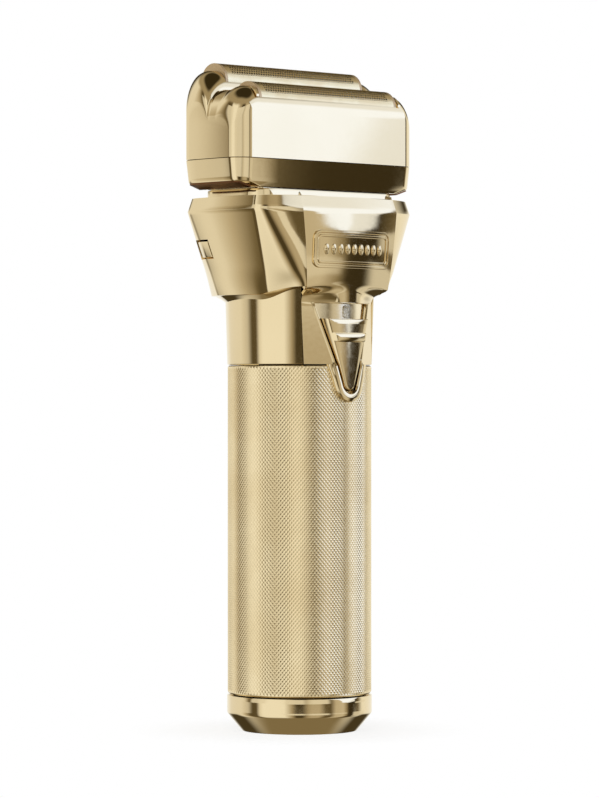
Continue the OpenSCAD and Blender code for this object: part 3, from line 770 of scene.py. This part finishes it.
def neck_collar():
    """Raised plinth on the deck that the head drops over, with its locating rim."""
    shape = Shape()
    z = COLLAR_Z
    sections = [(23.5, 11.25, 5.0, DECK_Z - 0.2), (23.5, 11.25, 5.0, z - 0.22),
                (23.42, 11.17, 4.95, z - 0.06), (23.25, 11.0, 4.8, z), (22.25, 9.45, 1.6, z),
                (22.2, 9.4, 1.5, z + 1.9), (22.1, 9.3, 1.45, z + 2.0), (21.4, 8.6, 1.1, z + 2.0),
                (21.3, 8.5, 1.0, z + 1.9), (21.3, 8.5, 1.0, z + 0.05)]
    shape.grid(ring_rows(sections), closed=True)
    return build("neck_collar_polished", shape, crease=30)


def collar_deck():
    """Deck inside the collar's rim, open where the drive posts come through."""
    shape = Shape()
    half_x, half_y, slot_x, slot_y = 21.4, 8.6, 4.6, (4.15, 8.15)
    xs = sorted([-half_x, half_x, -slot_x, slot_x]
                + [half_x * s for s in even(-1, 1, 24)[1:-1]])
    right = [2.0, slot_y[0], 5.4, 7.0, slot_y[1], half_y]
    ys = [-y for y in reversed(right)] + [0.0] + right
    rows = [[(x, y, COLLAR_Z - 0.4 * smoothstep(0.2, 0, abs(abs(y) - half_y))) for x in xs]
            for y in ys]

    def slot(r, i):
        x, y = (xs[i] + xs[i + 1]) / 2, (ys[r] + ys[r + 1]) / 2
        return abs(x) < slot_x and slot_y[0] < abs(y) < slot_y[1]

    shape.grid(rows, skip=slot)
    return build("collar_deck", shape, wall=0.8, crease=30)


# -------------------- foils

def foil_sheet(name, side, peak):
    """Perforated foil: a hexagonal hole field bent over the arch, with plain margins."""
    shape = Shape()
    radius, half, drop = 4.6, 22.5, 6.5
    axis_z = peak - radius
    pitch, hole = 0.8, 0.27
    margin_x = 1.2
    field_angle = radians(146)
    rise = pitch * sqrt(3) / 2
    length = field_angle * radius
    rows = int(length / rise)
    cols = int((2 * half - 2 * margin_x) / pitch)
    x_step = (2 * half - 2 * margin_x) / cols
    a_step = field_angle / rows

    def bend(x, a, r=radius):
        return (x, side * FOIL_Y + r * sin(a), axis_z + r * cos(a))

    cell = [(0.5 * sin(pi / 3 * k) / cos(pi / 6), 0.5 * cos(pi / 3 * k) / cos(pi / 6))
            for k in range(6)]
    for j in range(rows):
        a0 = -field_angle / 2 + (j + 0.5) * a_step
        for i in range(cols - (j % 2)):
            x0 = -half + margin_x + (i + 0.5 + 0.5 * (j % 2)) * x_step
            outer = [bend(x0 + cx * x_step, a0 + cy * a_step / (sqrt(3) / 2)) for cx, cy in cell]
            inner = [bend(x0 + cx * 2 * hole * cos(pi / 6) * 1.15,
                          a0 + cy * 2 * hole * cos(pi / 6) * 1.15 / radius) for cx, cy in cell]
            s = shape.add(outer + inner)
            for k in range(6):
                m = (k + 1) % 6
                shape.faces.append((s + k, s + m, s + 6 + m, s + 6 + k))
    edge = field_angle / 2
    for sign in (-1, 1):
        ends = [[bend(sign * x, -edge - 0.03 + (2 * edge + 0.06) * k / 40, radius - 0.01)
                 for k in range(41)]
                for x in (half, half - 0.5, half - margin_x - x_step * 0.62)]
        shape.grid(ends)
        strip = []
        for a in (edge - 0.10, edge + 0.04, edge + 0.2, pi / 2):
            strip.append([bend(half * s, sign * a, radius - (0.01 if a < edge else 0))
                          for s in even(-1, 1, 60)])
        strip.append([(half * s, side * FOIL_Y + sign * radius, axis_z - drop)
                      for s in even(-1, 1, 60)])
        shape.grid(strip)
    return build(name, shape, wall=0.1, crease=40)


# -------------------- badge

def badge():
    """Blank name plate bowed with the fascia: double frame and a row of plain studs."""
    shape = Shape()
    middle_z, studs, pitch = 119.4, 9, 2.25
    field_x, field_y = 11.2, 2.9

    def place(x, h, proud):
        z = middle_z + h
        _, (fx, fy), crown = corner_set(z)
        y = -fy - crown * (1 - (x / fx) ** 2)
        return (x, y - proud, z)

    levels = [(12.95, 4.65, 2.05, -0.25), (12.9, 4.6, 2.0, 0.42), (12.8, 4.5, 1.9, 0.5),
              (12.35, 4.05, 1.5, 0.5), (12.25, 3.95, 1.4, 0.42), (12.2, 3.9, 1.35, 0.28),
              (11.85, 3.55, 1.1, 0.28), (11.8, 3.5, 1.05, 0.42), (11.7, 3.4, 1.0, 0.5),
              (11.35, 3.05, 0.75, 0.5), (11.25, 2.95, 0.65, 0.42), (field_x, field_y, 0.6, 0.24)]
    shape.grid([[place(x, h, proud) for x, h in rounded_outline(hx, hy, r, 8, 16)]
                for hx, hy, r, proud in levels], closed=True)
    shape.grid([[place(field_x * across, field_y * up, 0.235) for across in even(-1, 1, 40)]
                for up in even(-1, 1, 8)])
    for k in range(studs):
        cx = pitch * (k - (studs - 1) / 2)
        rings = []
        for size, proud in ((1.0, 0.2), (0.95, 0.4), (0.82, 0.5), (0.25, 0.62)):
            rings.append([place(x, h, proud) for x, h in oval(cx, 0.8 * size, 1.35 * size, 24)])
        shape.grid(rings, closed=True, cap_last=True)
    return build("badge_polished", shape, crease=32)


# -------------------- materials

class Nodes:
    """Short way to add shader nodes and join them."""

    def __init__(self, owner):
        owner.use_nodes = True
        self.owner, self.tree = owner, owner.node_tree
        self.tree.nodes.clear()

    def add(self, kind, inputs=None, **settings):
        """Adds a shader node; inputs take sockets or plain values."""
        node = self.tree.nodes.new("ShaderNode" + kind)
        for key, value in settings.items():
            setattr(node, key, value)
        for key, value in (inputs or {}).items():
            self.set(node.inputs[key], value)
        return node

    def set(self, socket, value):
        """Links a socket to another, or gives it a plain value."""
        if isinstance(value, bpy.types.NodeSocket):
            self.tree.links.new(value, socket)
        elif isinstance(value, tuple) and len(value) == 3 and socket.type == "RGBA":
            socket.default_value = (*value, 1.0)
        else:
            socket.default_value = value

    def finish(self, shader, kind="OutputMaterial"):
        """Joins the shader to an output node and gives back the material or world."""
        self.tree.links.new(shader.outputs[0], self.add(kind).inputs[0])
        return self.owner

    def math(self, operation, a, b=0.0, c=None, clamp=False):
        inputs = {0: a, 1: b}
        if c is not None:
            inputs[2] = c
        return self.add("Math", inputs, operation=operation, use_clamp=clamp).outputs[0]

    def times(self, a, b, clamp=False):
        return self.math("MULTIPLY", a, b, clamp=clamp)

    def apart(self, a, b):
        return self.math("ABSOLUTE", self.math("SUBTRACT", a, b))

    def dot(self, vector, axis):
        node = self.add("VectorMath", {0: vector, 1: axis}, operation="DOT_PRODUCT")
        return node.outputs["Value"]

    def place(self):
        """Place on the object, in its own frame."""
        return self.add("TexCoord").outputs["Object"]

    def spread(self, value, low, high, to_low=0.0, to_high=1.0):
        """Eased climb from to_low at low to to_high at high."""
        inputs = {"Value": value, "From Min": low, "From Max": high, "To Min": to_low,
                  "To Max": to_high}
        return self.add("MapRange", inputs, interpolation_type="SMOOTHSTEP").outputs["Result"]

    def sweep(self, angle, low, high):
        """Eased climb from 0 to 1 between two angles in degrees."""
        return self.spread(angle, radians(low), radians(high))

    def blend(self, factor, a, b):
        node = self.add("Mix", {"Factor": factor}, data_type="RGBA")
        self.set(node.inputs[6], a)
        self.set(node.inputs[7], b)
        return node.outputs[2]

    def mixed(self, factor, first, second):
        """Shader that goes over from the first to the second."""
        return self.add("MixShader", {0: factor, 1: first.outputs[0], 2: second.outputs[0]})

    def ramp(self, factor, stops):
        """Colour by straight steps between (place, colour) stops."""
        node = self.add("ValToRGB", {"Fac": factor})
        band = node.color_ramp
        ends = band.elements[0], band.elements[1]
        for element, (place, colour) in zip(ends, (stops[0], stops[-1])):
            element.position = place
            element.color = (*colour, 1.0)
        for place, colour in stops[1:-1]:
            band.elements.new(place).color = (*colour, 1.0)
        return node.outputs["Color"]

    def noise(self, scale, detail=3.0, stretch=(1, 1, 1)):
        place = self.place()
        if stretch != (1, 1, 1):
            place = self.add("Mapping", {"Vector": place, "Scale": stretch}).outputs[0]
        return self.add("TexNoise", {"Vector": place, "Scale": scale, "Detail": detail}).outputs[0]


def surface(name, colour, second, rough, metallic=1.0, patch=55, grain=900, bump=0.06,
            wear=0.35, stretch=(1, 1, 1), coat=0.0):
    """Two-tone surface whose edges are rubbed lighter, with fine grain in gloss and relief."""
    n = Nodes(bpy.data.materials.new(name))
    broad = n.noise(patch, 4.0)
    fine = n.noise(grain, 5.0, stretch)
    tone = n.blend(n.spread(broad, 0.32, 0.68), colour, second)
    edge = n.spread(n.add("NewGeometry").outputs["Pointiness"], 0.53, 0.62)
    rubbed = n.times(edge, n.times(fine, wear * 1.6), clamp=True)
    worn = tuple(min(1.0, c * 1.12 + 0.03) for c in colour)
    tone = n.blend(rubbed, tone, worn)
    gloss = n.spread(n.math("ADD", n.times(fine, 0.7), n.times(broad, 0.3)), 0.3, 0.7, *rough)
    gloss = n.math("ADD", gloss, n.times(rubbed, 0.08))
    relief = n.add("Bump", {"Height": fine, "Strength": bump, "Distance": 0.0001})
    return n.finish(n.add("BsdfPrincipled", {
        "Base Color": tone, "Metallic": metallic, "Roughness": gloss,
        "Normal": relief.outputs[0], "Coat Weight": coat, "Coat Roughness": 0.12}))


def make_materials():
    """Every material by its short name."""
    return {
        "gold": surface("polished_gold", (0.80, 0.665, 0.425), (0.785, 0.65, 0.41),
                        (0.05, 0.08), bump=0.015, wear=0.15),
        "knurl": surface("knurled_gold", (0.87, 0.74, 0.49), (0.81, 0.67, 0.42), (0.16, 0.26),
                         bump=0.08, wear=0.6),
        # painted shade: dark copper standing in for the shade in the gap under the head ring's ends
        "underside": surface("painted_shade_copper", (0.20, 0.09, 0.035), (0.12, 0.05, 0.02),
                             (0.30, 0.42), bump=0.15),
        "panel": surface("pale_panel_gold", (0.86, 0.76, 0.56), (0.83, 0.72, 0.50),
                         (0.10, 0.16), bump=0.03),
        "foil": surface("foil_copper", (0.79, 0.67, 0.41), (0.73, 0.58, 0.33), (0.18, 0.28),
                        patch=140, bump=0.08, stretch=(0.15, 1, 1)),
        "cap_plastic": surface("foil_end_tan", (0.56, 0.42, 0.25), (0.50, 0.36, 0.20),
                               (0.28, 0.40), metallic=0.55, bump=0.1),
        "steel": surface("bare_steel", (0.56, 0.57, 0.58), (0.47, 0.48, 0.50), (0.18, 0.32),
                         stretch=(0.1, 1, 1), bump=0.1),
        "ferrite": surface("dark_ferrite", (0.06, 0.06, 0.065), (0.035, 0.035, 0.04),
                           (0.45, 0.65), metallic=0.2, bump=0.3),
        "rotor": surface("rotor_iron", (0.30, 0.27, 0.25), (0.36, 0.20, 0.11), (0.30, 0.45),
                         stretch=(1, 1, 8), bump=0.3),
        "brass": surface("contact_brass", (0.78, 0.60, 0.27), (0.70, 0.50, 0.20), (0.15, 0.28)),
        "black": surface("black_plastic", (0.016, 0.016, 0.017), (0.026, 0.025, 0.024),
                         (0.35, 0.55), metallic=0.0, grain=1600, bump=0.35, wear=0.15),
        "pale": surface("pale_plastic", (0.70, 0.69, 0.63), (0.62, 0.60, 0.53), (0.32, 0.46),
                        metallic=0.0, grain=1400, bump=0.25, wear=0.1),
        "rubber": surface("dark_rubber", (0.035, 0.022, 0.016), (0.05, 0.03, 0.02),
                          (0.55, 0.75), metallic=0.0, grain=2200, bump=0.4, wear=0.1),
        "wrap": surface("cell_wrap", (0.05, 0.13, 0.30), (0.035, 0.10, 0.25), (0.22, 0.34),
                        metallic=0.0, stretch=(1, 1, 0.2), bump=0.15, coat=0.3),
        "board": board_material(),
        "lens": lens_material(),
    }


def board_material():
    """Green board with lighter copper runs under the mask."""
    n = Nodes(bpy.data.materials.new("board_green"))
    cells = n.add("TexVoronoi", {"Vector": n.place(), "Scale": 620.0},
                  distance="MANHATTAN", feature="DISTANCE_TO_EDGE")
    runs = n.spread(cells.outputs["Distance"], 0.05, 0.09)
    bump = n.add("Bump", {"Height": runs, "Strength": 0.3, "Distance": 0.0001})
    return n.finish(n.add("BsdfPrincipled", {
        "Base Color": n.blend(runs, (0.05, 0.26, 0.11), (0.012, 0.11, 0.045)),
        "Roughness": n.spread(n.noise(1500), 0.3, 0.7, 0.28, 0.42),
        "Normal": bump.outputs[0]}))


def lens_material():
    """Frosted light pipe with a dimpled face."""
    n = Nodes(bpy.data.materials.new("clear_lens"))
    cells = n.add("TexVoronoi", {"Vector": n.place(), "Scale": 1700.0})
    dimple = cells.outputs["Distance"]
    bump = n.add("Bump", {"Height": dimple, "Strength": 0.8, "Distance": 0.0003})
    return n.finish(n.add("BsdfPrincipled", {
        "Base Color": n.blend(n.spread(dimple, 0.1, 0.7), (0.95, 0.93, 0.86), (0.80, 0.76, 0.64)),
        "Normal": bump.outputs[0], "Roughness": n.spread(n.noise(900), 0.3, 0.7, 0.08, 0.2),
        "Transmission Weight": 0.35, "IOR": 1.5}))


# -------------------- studio

def warm(level):
    """Light of a given level as the studio's warm flags and cards give it back."""
    share = min(1.0, level)
    return (level, level * (0.74 + 0.26 * share), level * (0.30 + 0.66 * share))


# Small cards: bearings of the dark and the full edge, heights of the lower and upper
# edge, and the share of light each adds.
SIDE_CARDS = ((97, 102, -2, 0.6, 0.75), (92.5, 98.5, -26, -5.6, 0.8),
              (84, 79.5, -9.5, -6, 0.5), (-88, -101, 1.5, 12, 0.8),
              (-79, -91, -8, 1.0, 0.65), (-30, -16, 2, 30, 0.9), (0, 24, 2, 30, 0.9),
              (-87, -80, 2, 30, 0.85), (-30, -16, -12, -6.2, 0.9), (0, 24, -12, -6.2, 0.9))


def ring_light(n, bearing):
    """Cards and flags all round: the level of light at each bearing from the camera."""
    stops = ((-180, 1.0), (-150, 1.0), (-140, 0.92), (-106, 0.92), (-97, 0.6), (-88, 0.2),
             (-84, 0.12), (-72, 0.12), (-66, 0.9), (-60, 1.05), (-24, 1.05), (-12, 0.45),
             (-5, 0.075), (5, 0.075), (14, 0.45), (20, 0.55), (32, 0.55), (42, 0.15),
             (51, 0.13), (60, 0.62), (74, 0.68), (81, 0.32), (85, 0.05), (98, 0.04),
             (107, 0.16), (118, 1.02), (179, 1.02))
    place = n.math("MULTIPLY_ADD", bearing, 0.5 / pi, 0.5)
    return n.ramp(place, [((a + 180) / 360, warm(level)) for a, level in stops])


def add_side_cards(n, sky, bearing, height):
    """Lays the small cards over the sky, each fading out well past its full edge."""
    for west, east, low, high, share in SIDE_CARDS:
        level_with = n.times(n.sweep(height, low - 1, low), n.sweep(height, high + 0.6, high))
        here = n.times(n.sweep(bearing, west, east), level_with)
        here = n.times(here, n.sweep(n.apart(bearing, radians(east)), 30, 20))
        sky = n.blend(n.times(here, share), sky, warm(0.92))
    return sky


def add_front_card(n, sky, bearing, height):
    """Lays the card that faces the fascia over the sky: wider upward, cooler to one corner."""
    reach = n.times(n.math("SUBTRACT", height, radians(0.8)), 8.0)
    reach = n.math("MINIMUM", reach, radians(14))
    spill = n.math("MAXIMUM", n.math("SUBTRACT", height, radians(6)), 0.0)
    inside = n.math("SUBTRACT", n.math("ADD", reach, spill), n.apart(bearing, radians(85)))
    share = n.times(n.sweep(inside, -1, 2), n.sweep(height, 42, 34))
    tint = n.math("MULTIPLY_ADD", n.math("SUBTRACT", bearing, radians(87)), -0.5, height)
    tint = n.times(n.sweep(tint, 2.9, 3.9), n.sweep(height, 28, 18))
    card = n.blend(tint, (1.02, 1.13, 1.4), (1.2, 1.4, 1.95))
    return n.blend(share, sky, card)


def studio_world():
    """White studio with soft dark flags round the object, set by bearing from the camera."""
    world = bpy.data.worlds.new("studio")
    bpy.context.scene.world = world
    n = Nodes(world)
    ray = n.add("TexCoord").outputs["Generated"]
    forward, right, up = n.dot(ray, TO_CAMERA), n.dot(ray, VIEW_RIGHT), n.dot(ray, (0, 0, 1))
    bearing = n.math("ARCTAN2", right, forward)
    height = n.math("ARCSINE", up)
    sky = n.blend(n.sweep(height, -30, -64), ring_light(n, bearing), warm(0.26))
    sky = add_side_cards(n, sky, bearing, height)
    floor_flag = n.times(n.spread(forward, -0.3, -0.6), n.sweep(height, -8, -22))
    sky = n.blend(floor_flag, sky, warm(0.07))
    sky = n.blend(n.sweep(height, 34, 42), sky, warm(0.42))
    sky = add_front_card(n, sky, bearing, height)
    rear_flag = n.times(n.spread(forward, -0.5, -0.8), n.sweep(height, 6, 14))
    sky = n.blend(rear_flag, sky, warm(0.05))
    sky = n.blend(n.sweep(height, 50, 62), sky, warm(0.04))
    seen = n.add("Background", {"Color": (1.0, 1.0, 1.0), "Strength": 1.0})
    felt = n.add("Background", {"Color": sky, "Strength": 1.0})
    direct = n.add("LightPath").outputs["Is Camera Ray"]
    n.finish(n.mixed(direct, felt, seen), "OutputWorld")


def studio_floor():
    """Pale, thin floor that fades into the white backdrop and hides nothing under it."""
    shape = Shape()
    rows = [[(x, y, -0.02) for x, y in oval(0, r, -r, 96)] for r in (4, 60, 200, 600, 1500)]
    shape.grid(rows, closed=True, cap_first=True)
    floor = build("floor", shape)
    n = Nodes(bpy.data.materials.new("pale_floor"))
    far = n.add("VectorMath", {0: n.place()}, operation="LENGTH").outputs["Value"]
    fade = n.spread(far, 0.018, 0.045, 0.85, 1.0)
    matt = n.add("BsdfDiffuse", {"Color": (0.93, 0.92, 0.90)})
    clear = n.add("BsdfTransparent")
    floor.data.materials.append(n.finish(n.mixed(fade, matt, clear)))
    floor.visible_glossy = False


def soft_light(name, place, size, power):
    """Warm area light aimed at the middle of the object, with no highlight of its own."""
    lamp = bpy.data.lights.new(name, "AREA")
    lamp.size = size
    lamp.energy = power
    lamp.color = (1.0, 0.97, 0.92)
    obj = new_object(name, lamp)
    obj.location = place
    direction = Vector((0, 0, 0.08)) - Vector(place)
    obj.rotation_euler = direction.to_track_quat("-Z", "Y").to_euler()
    obj.visible_glossy = False
    obj.visible_camera = False


def studio_camera():
    """Long lens held level, at the bearing the photo was taken from."""
    scene = bpy.context.scene
    data = bpy.data.cameras.new("camera")
    data.lens = CAMERA_LENS
    data.sensor_width = SENSOR_WIDTH
    data.clip_start = 0.01
    camera = new_object("camera", data)
    camera.location = (TO_CAMERA[0] * CAMERA_DISTANCE, TO_CAMERA[1] * CAMERA_DISTANCE,
                       CAMERA_HEIGHT)
    camera.rotation_euler = (pi / 2, 0, VIEW_AZIMUTH)
    scene.camera = camera
    scene.view_settings.view_transform = "Standard"
    scene.view_settings.look = "None"


# -------------------- the scene

def both(part):
    """Names of a part's front and rear twins."""
    return f"front_{part}", f"rear_{part}"


CAD_FINISH = {
    "steel": ("motor_can", "mount_screws", "guide_rods", "motor_shaft", *both("cutter_comb"),
              *both("cutter_spring"), *both("foil_springs"), "left_release_spring",
              "right_release_spring"),
    "black": ("cell_case", "cell_spacers", "grip_liner", "contact_block", "motor_end_bell",
              "drive_guide", "eccentric_crank", *both("cutter_carrier"), "foil_bed",
              "slider_actuator", "slide_switch"),
    "brass": ("charge_contacts", "pack_terminals", "spring_contacts", "commutator"),
    "rubber": ("pack_seal", "post_seals"),
    "pale": both("drive_yoke"),
    "board": ("pack_board", "circuit_board"),
    "ferrite": ("motor_magnets",),
    "rotor": ("rotor_core",),
    "wrap": ("battery_cell",),
    "panel": ("switch_panel",),
    "lens": ("indicator_lens",),
    "cap_plastic": both("foil_frame"),
    "gold": ("foil_clips",),
}


def dress_cad(materials):
    """Gives each inner CAD node the material of its kind."""
    for key, names in CAD_FINISH.items():
        for name in names:
            obj = frame["nodes"][name]
            obj.data.materials.clear()
            obj.data.materials.append(materials[key])


def body_of(node):
    """Moving body that a CAD node belongs to."""
    return frame["nodes"][node]["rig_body"]


def main():
    """Sets the studio, dresses the inner parts and hangs each polished piece on its body."""
    studio_camera()
    studio_world()
    studio_floor()
    soft_light("key_light", (-0.7, -0.6, 0.9), 0.6, 6.0)
    soft_light("back_light", (0.6, 0.8, 0.8), 0.6, 4.0)
    materials = make_materials()
    dress_cad(materials)
    pieces = (
        (upper_shell(), "upper_shell", "gold"),
        (front_fascia(), "front_fascia", "gold"),
        (power_slider(), "power_slider", "gold"),
        (knurled_sleeve(), "grip_sleeve", "knurl"),
        (base_cap(), "base_cap", "gold"),
        (contact_plate(), "base_cap", "gold"),
        (head_cover(), "head_cover", "gold"),
        (ring_part("head_ring_polished", False), "head_ring", "gold"),
        # the ring's end chamfers carry painted shade: a dark copper in place of the shade under the
        # head
        (ring_part("head_ring_underside", True, 0.3), "head_ring", "underside"),
        (neck_collar(), "neck_collar", "gold"),
        (collar_deck(), "neck_collar", "gold"),
        (foil_sheet("front_foil_mesh", -1, top("front_foil")), "front_foil", "foil"),
        (foil_sheet("rear_foil_mesh", 1, top("rear_foil")), "rear_foil", "foil"),
        (badge(), "badge_plate", "gold"),
        (release_button(-1), "left_release_button", "gold"),
        (release_button(1), "right_release_button", "gold"),
    )
    slots = {"knurl": "knurled_gold", "foil": "foil_metal"}
    taken = set()
    for obj, node, look in pieces:
        nodes = () if node in taken else (node,)  # a node's first piece takes it over
        taken.add(node)
        finish_piece(obj, body_of(node), slots.get(look, "polished_gold"), materials[look], *nodes)


main()
